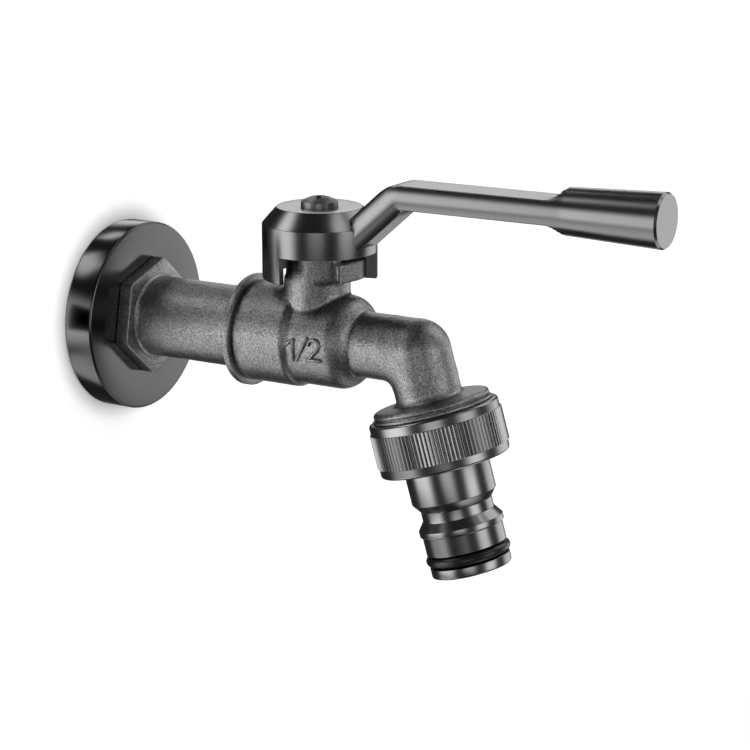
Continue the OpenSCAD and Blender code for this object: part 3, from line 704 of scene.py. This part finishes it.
def smooth(x):
    """Smooth step from 0 to 1, x squared times 3 - 2 x."""
    x = np.clip(x, 0, 1)
    return x * x * (3 - 2 * x)


u, z, way = arm_path()
grip = np.clip((u - GRIP_START) / (ARM_END - GRIP_START), 0, 1)
bar_r = np.where(u > GRIP_START, BAR_R + GRIP_GROWTH * grip, BAR_R)
half_thick = LEVEL_HALF + (SLOPE_HALF - LEVEL_HALF) * smooth((BEND_U + 1.5 - u) / 4.0)
half_thick = half_thick + 6.0 * np.clip((u - FLAT_END) / 5.6, 0, 1) ** 2.2
tip = np.clip((u - ARM_END + TIP_ROUND) / TIP_ROUND, 0, 1)
tip_inset = TIP_ROUND * (1 - np.sqrt(np.clip(1 - tip ** 2, 0, 1)))
a = np.linspace(0, 2 * np.pi, 240, endpoint=False)
flat_r = half_thick[:, None] / np.maximum(np.abs(np.sin(a)), 1e-3)[None, :]
# 1 / section^n = 1 / bar^n + 1 / flat^n, which is the smaller of the two with a soft corner
section = (bar_r[:, None] ** -SECTION_POWER + flat_r ** -SECTION_POWER) ** (-1 / SECTION_POWER)
section = section - tip_inset[:, None]
side_y = section * np.cos(a)
lift = section * np.sin(a)
points_x = STEM_X + u[:, None] - lift * np.sin(way)[:, None]
points_z = z[:, None] + lift * np.cos(way)[:, None]
points = np.stack([points_x, side_y, points_z], -1)
surface("lever_arm", points, lever_finish, "lever", ["lever_handle"], poles=True)

# %% [markdown]
# ## Finishes on the solids that stay
# The remaining solids already have the right shape, so they only take a finish.

# %% Finishes on solids
def finish_node(name, finish):
    """Puts a finish on a CAD node's material slots."""
    mesh = nodes[name].data
    if not mesh.materials:
        mesh.materials.append(finish)
    for i in range(len(mesh.materials)):
        mesh.materials[i] = finish


for name, finish in {
    "handle_screw": screw_finish, "ball": ball_finish,
    "stem": brass_finish, "seat_ring_inlet": seat_plastic, "seat_ring_outlet": seat_plastic,
    "stem_thrust_washer": seat_plastic, "body_oring": rubber, "stem_oring_lower": rubber,
    "stem_oring_upper": rubber, "nipple_oring": rubber, "coupling_gasket": rubber,
}.items():
    finish_node(name, finish)
print("finishes set")

# %% [markdown]
# ## The size mark
# The barrel carries its pipe size, half an inch, cast as raised strokes. Each stroke is a short
# rounded ridge that follows a line on the unrolled barrel.

# %% Size mark
BARREL_R = 12.0
STROKE_SIDES = 16
STROKE_ROOT = 0.5


def stroke(path, width=1.12, height=0.68):
    """Rounded ridge along a path of (x, arc) points on the barrel, in millimetres.

    Each row is a closed half-round section across the path: width / 2 * cos t beside the path,
    and height * sin t above the barrel, or STROKE_ROOT * sin t below its skin. The two ends
    shrink to a rounded tip."""
    path = np.array(path, float)
    step = np.gradient(path, axis=0)
    step /= np.linalg.norm(step, axis=1, keepdims=True)
    side = np.stack([-step[:, 1], step[:, 0]], 1)
    ends = np.array([-0.48, -0.36, 0.0])
    first = path[0] + step[0] * ends[:, None] * width
    last = path[-1] - step[-1] * ends[::-1][:, None] * width
    path = np.concatenate([first, path[1:-1], last])
    side = np.concatenate([side[:1]] * 3 + [side[1:-1]] + [side[-1:]] * 3)
    swell = np.ones(len(path))
    swell[[0, -1]] = 0.12
    swell[[1, -2]] = 0.7
    t = np.linspace(0, 2 * np.pi, STROKE_SIDES, endpoint=False)
    beside = width / 2 * np.cos(t)[None, :] * swell[:, None]
    lift = np.where(np.sin(t) > 0, height, STROKE_ROOT)[None, :] * np.sin(t)[None, :] * swell[:, None]
    x = path[:, :1] + side[:, :1] * beside
    arc = (path[:, 1:] + side[:, 1:] * beside) / BARREL_R
    r = BARREL_R + lift
    return np.stack([x, -r * np.cos(arc), r * np.sin(arc)], -1)


def size_mark():
    """The strokes of 1, a slash and 2, laid out along the barrel."""
    bend = np.radians(np.linspace(170, -42, 16))
    top = np.stack([67.4 + 1.45 * np.cos(bend), 1.05 + 1.5 * np.sin(bend)], 1)
    foot = [[65.85, -2.6], [69.2, -2.6]]
    two = np.concatenate([top, [[67.5, -0.9], [66.5, -2.0]], foot[:1]])
    return {
        "one": [[61.3, -3.2], [61.3, -0.6], [61.3, 2.0]],
        "one_flag": [[61.25, 1.95], [60.4, 1.35], [59.5, 0.8]],
        "slash": [[62.3, -3.1], [63.9, -0.25], [65.4, 2.6]],
        "two": two,
        "two_foot": foot,
    }


for label, path in size_mark().items():
    surface("mark_" + label, stroke(path), cast, "tap", (), poles=True)

# %% [markdown]
# ## Wall, floor and background
# The tap hangs on a white wall, and the wall takes the soft shadow beside the flange, partly from the
# lights and partly painted. It is drawn from the front only, so that the views from behind look at the
# thread. To the camera the wall and the floor add a little light of their own, which makes them white
# without lighting the tap. An Ambient Occlusion node, turned towards the lighter side of the room,
# takes that light away close to the flange, a painted shadow where a real wall is darkest. The floor
# keeps clear of the wall, so that the corner between them gets no such painted line.

# %% Wall and floor
LIGHT_SIDE = (0.7, 0.45, 0.55)
WALL_X = -0.0002
SET_HALF = 0.9
FLOOR_Z, WALL_TOP = -0.3, 0.7
FLOOR_NEAR, FLOOR_FAR = 0.02, 1.2


def stage_plane(name, corners, glow, facing):
    """A plane of the set with a white matt finish and a glow that only the camera sees, with a painted
    shadow where an Ambient Occlusion node dims the glow close to other objects.

    Glossy rays pass through it, and with facing set so does every ray from behind."""
    mesh = bpy.data.meshes.new(name)
    mesh.from_pydata(corners, [], [(0, 1, 2, 3)])
    made = bpy.data.materials.new(name)
    made.use_nodes = True
    tree = made.node_tree
    tree.nodes.remove(tree.nodes["Principled BSDF"])
    path = tree.nodes.new("ShaderNodeLightPath")
    seen = math(tree, "MAXIMUM", path.outputs["Is Camera Ray"], path.outputs["Is Transmission Ray"])
    matt = node(tree, "ShaderNodeBsdfDiffuse", Color=(0.95, 0.95, 0.95, 1.0))
    # Painted shadow: the ambient occlusion value darkens the wall's glow close to the flange.
    painted_shadow_ao = node(tree, "ShaderNodeAmbientOcclusion", samples=12, Distance=0.0055, Normal=LIGHT_SIDE)
    glow_less_painted_shadow = math(tree, "MULTIPLY", math(tree, "POWER", painted_shadow_ao.outputs["AO"], 1.8), glow)
    strength = math(tree, "MULTIPLY", seen, glow_less_painted_shadow)
    light = node(tree, "ShaderNodeEmission", Color=(1.0, 1.0, 1.0, 1.0), Strength=strength)
    both = node(tree, "ShaderNodeAddShader", in0=matt.outputs[0], in1=light.outputs[0])
    out = tree.nodes["Material Output"]
    clear = tree.nodes.new("ShaderNodeBsdfTransparent")
    hidden = path.outputs["Is Glossy Ray"]
    if facing:
        side = tree.nodes.new("ShaderNodeNewGeometry").outputs["Backfacing"]
        hidden = math(tree, "MAXIMUM", hidden, side)
    both = node(tree, "ShaderNodeMixShader", in0=hidden, in1=both.outputs[0], in2=clear.outputs[0])
    tree.links.new(both.outputs[0], out.inputs["Surface"])
    mesh.materials.append(made)
    plane = bpy.data.objects.new(name, mesh)
    bpy.context.scene.collection.objects.link(plane)
    return plane


wall_corners = [
    (WALL_X, -SET_HALF, FLOOR_Z), (WALL_X, SET_HALF, FLOOR_Z),
    (WALL_X, SET_HALF, WALL_TOP), (WALL_X, -SET_HALF, WALL_TOP),
]
floor_corners = [
    (FLOOR_NEAR, -SET_HALF, FLOOR_Z), (FLOOR_FAR, -SET_HALF, FLOOR_Z),
    (FLOOR_FAR, SET_HALF, FLOOR_Z), (FLOOR_NEAR, SET_HALF, FLOOR_Z),
]
wall = stage_plane("wall", wall_corners, 0.61, True)
floor = stage_plane("floor", floor_corners, 0.7, False)
print("set:", wall.name, floor.name)

# %% [markdown]
# ## A black card
# A photographer who wants a dark band on a bright turned rim holds a black card beside it. This
# one stands behind the wall's plane, where only the flange's rim mirrors it. It is a part of the
# set that nothing but glossy rays can see.

# %% Black card
CARD_ENDS = ((-0.004, -0.066), (-0.027, -0.052))
CARD_LOW, CARD_HIGH = -0.008, 0.0155
card_corners = [(*end, CARD_LOW) for end in CARD_ENDS]
card_corners += [(*end, CARD_HIGH) for end in CARD_ENDS[::-1]]
card_data = bpy.data.meshes.new("black_card")
card_data.from_pydata(card_corners, [], [(0, 1, 2, 3)])
card_black = bpy.data.materials.new("card_black")
card_black.use_nodes = True
tree = card_black.node_tree
tree.nodes.remove(tree.nodes["Principled BSDF"])
glossy = tree.nodes.new("ShaderNodeLightPath").outputs["Is Glossy Ray"]
black = node(tree, "ShaderNodeBsdfDiffuse", Color=(0.0, 0.0, 0.0, 1.0))
clear = tree.nodes.new("ShaderNodeBsdfTransparent")
shown = node(tree, "ShaderNodeMixShader", in0=glossy, in1=clear.outputs[0], in2=black.outputs[0])
tree.links.new(shown.outputs[0], tree.nodes["Material Output"].inputs["Surface"])
card_data.materials.append(card_black)
card = bpy.data.objects.new("black_card", card_data)
bpy.context.scene.collection.objects.link(card)
print("card beside the flange")

# %% [markdown]
# ## Studio light
# Polished metal shows the room, so the room is the lighting. The world holds fourteen soft
# panels, each a rectangle in azimuth and elevation that fades out over its softness. Between the
# panels it is dark, which gives the metal its dark bands. Each panel was placed by working out
# what direction a part of the tap mirrors to the camera. The camera itself sees plain white past
# the wall.

# %% Group: studio panel
studio_panel, gin, gout = group(
    "studio_panel",
    [
        ("Azimuth", FLOAT, 0.0), ("Elevation", FLOAT, 0.0),
        ("At azimuth", FLOAT, 0.0), ("At elevation", FLOAT, 0.0),
        ("Half width", FLOAT, 10.0), ("Half height", FLOAT, 10.0),
        ("Softness", FLOAT, 6.0), ("Strength", FLOAT, 1.0),
    ],
    [("Light", FLOAT)],
)
look_a, look_e, at_a, at_e, half_w, half_h, softness, level = gin.outputs[:8]
turn = math(studio_panel, "WRAP", math(studio_panel, "SUBTRACT", look_a, at_a), 180.0, -180.0)
off_side = math(studio_panel, "SUBTRACT", math(studio_panel, "ABSOLUTE", turn), half_w)
rise = math(studio_panel, "SUBTRACT", look_e, at_e)
off_top = math(studio_panel, "SUBTRACT", math(studio_panel, "ABSOLUTE", rise), half_h)
for off in (off_side, off_top):
    soft = node(
        studio_panel, "ShaderNodeMapRange", interpolation_type="SMOOTHSTEP", Value=off,
        From_Min=0.0, From_Max=softness, To_Min=1.0, To_Max=0.0,
    )
    level = math(studio_panel, "MULTIPLY", level, soft.outputs[0])
studio_panel.links.new(level, gout.inputs["Light"])
print("group", studio_panel.name, "made")

# %% World
world = bpy.data.worlds.new("studio")
bpy.context.scene.world = world
world.use_nodes = True
tree = world.node_tree
sky = tree.nodes["Background"]
way = tree.nodes.new("ShaderNodeTexCoord").outputs["Generated"]
split = node(tree, "ShaderNodeSeparateXYZ", Vector=way)
azimuth = math(tree, "DEGREES", math(tree, "ARCTAN2", split.outputs[1], split.outputs[0]))
elevation = math(tree, "DEGREES", math(tree, "ARCSINE", split.outputs[2]))
FILL = 0.05
# azimuth, elevation, half width, half height and softness in degrees, then strength
PANELS = [
    (-136, -4, 14, 10, 20, 2.6),
    (-116, -46, 10, 8, 14, 1.2),
    (-66, 6, 8, 6, 14, 1.4),
    (-152, -48, 12, 8, 12, 1.6),
    (-160, 46, 12, 4, 9, 3.2),
    (-4, 2, 8, 4, 14, 2.2),
    (0, 20, 8, 4, 16, 1.0),
    (68, -8, 14, 8, 14, 1.5),
    (120, 17, 8, 4, 11, 1.5),
    (146, 46, 5, 2, 5, 3.4),
    (10, 60, 20, 3, 9, 2.0),
    (115, -28, 6, 4, 14, 0.8),
    (30, -60, 40, 8, 14, 1.2),
    (66, 38, 14, 12, 14, 1.6),
]
total = None
for panel in PANELS:
    placed = use(tree, studio_panel, Azimuth=azimuth, Elevation=elevation)
    for socket, value in zip(list(placed.inputs)[2:], panel):
        socket.default_value = value
    total = placed.outputs[0] if total is None else math(tree, "ADD", total, placed.outputs[0])
fill = math(tree, "ADD", total, FILL)
path = tree.nodes.new("ShaderNodeLightPath")
seen = math(tree, "MAXIMUM", path.outputs["Is Camera Ray"], path.outputs["Is Transmission Ray"])
strength = node(tree, "ShaderNodeMix", data_type="FLOAT", in0=seen, in2=fill, in3=1.0)
tree.links.new(strength.outputs[0], sky.inputs["Strength"])
sky.inputs["Color"].default_value = (1.0, 1.0, 1.0, 1.0)
print(len(PANELS), "panels in the studio")
